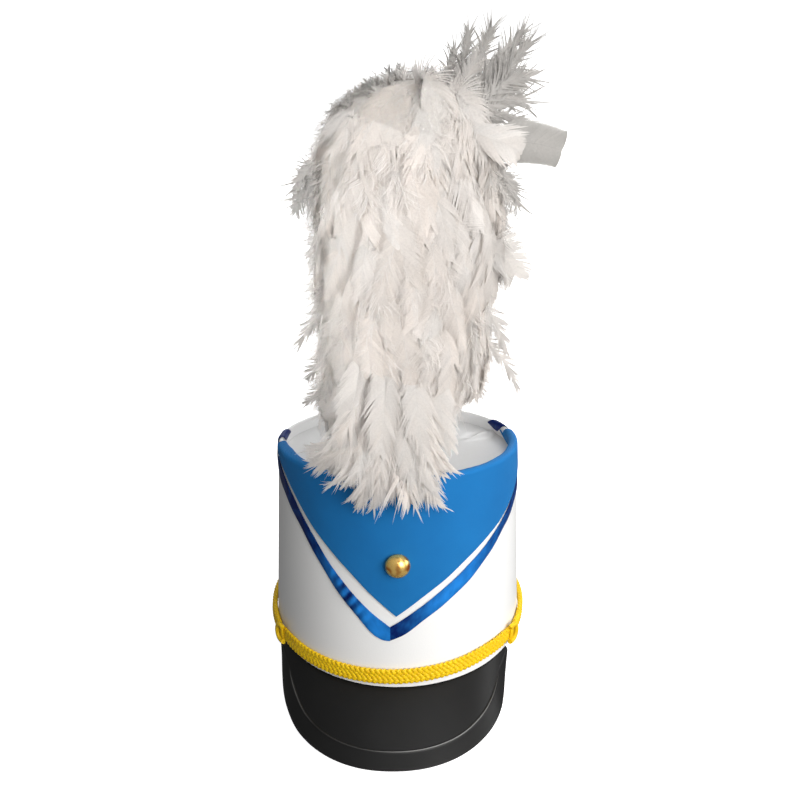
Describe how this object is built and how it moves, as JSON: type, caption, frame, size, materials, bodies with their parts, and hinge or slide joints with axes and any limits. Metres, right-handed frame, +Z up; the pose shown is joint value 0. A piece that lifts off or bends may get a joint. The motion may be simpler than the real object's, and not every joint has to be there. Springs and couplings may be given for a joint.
{
  "type": "shako hat",
  "caption": "Parade shako: oval white vinyl crown with recessed top, blue cloth V panel and ribbon chevron, domed gold button, gold braid, black moulded visor and a tall white feather plume.",
  "frame": {"origin": "centre of the bounding box, on the floor that the hat stands on", "axes": "+Z up, -Y towards the visor and button (the front), +X towards the hat's right as it is looked at from the front"},
  "size_m": [0.1948, 0.2508, 0.4374],
  "materials": {
    "shell_vinyl": "white vinyl with a faint grain and a soft sheen",
    "panel_cloth": "blue plain-weave cloth, matt",
    "ribbon_satin": "royal blue satin ribbon with a silky sheen",
    "button_gold": "polished gold-coloured metal",
    "gold_braid": "plaited golden-yellow rayon cord",
    "visor_black": "black moulded plastic with a satin sheen",
    "stem_white": "plain white plastic post",
    "feather_white": "fluffy white hackle feathers"
  },
  "bodies": {
    "root": {"crown_shell": "shell_vinyl", "crown_top": "shell_vinyl", "front_panel": "panel_cloth", "chevron_ribbon": "ribbon_satin", "button": "button_gold", "front_braid": "gold_braid", "back_braid": "gold_braid", "keeper_left": "gold_braid", "keeper_right": "gold_braid", "visor": "visor_black", "plume_stem": "stem_white", "plume": "feather_white"}
  },
  "joints": []
}
